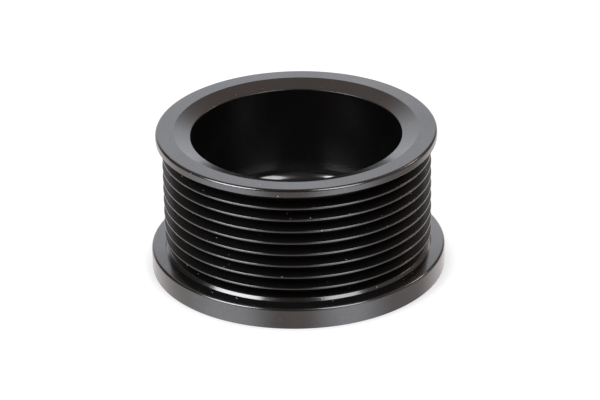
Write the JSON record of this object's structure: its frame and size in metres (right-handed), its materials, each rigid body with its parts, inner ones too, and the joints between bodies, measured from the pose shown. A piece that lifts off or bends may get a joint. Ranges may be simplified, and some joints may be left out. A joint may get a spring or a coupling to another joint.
{
  "type": "alternator pulley",
  "caption": "Turned steel multi-rib belt pulley with V grooves between two belt guides, a deep well for the shaft nut and a bored web that clamps on an alternator shaft.",
  "frame": {"origin": "centre of the shaft bore at the rear face, which seats against the alternator", "axes": "+Z along the shaft axis, from the rear face to the mouth of the nut well; the pulley is round, so X and Y are free"},
  "size_m": [0.0847, 0.0846, 0.042],
  "materials": {
    "blackened_steel": "satin"
  },
  "bodies": {
    "root": {"pulley": "blackened_steel"}
  },
  "joints": []
}
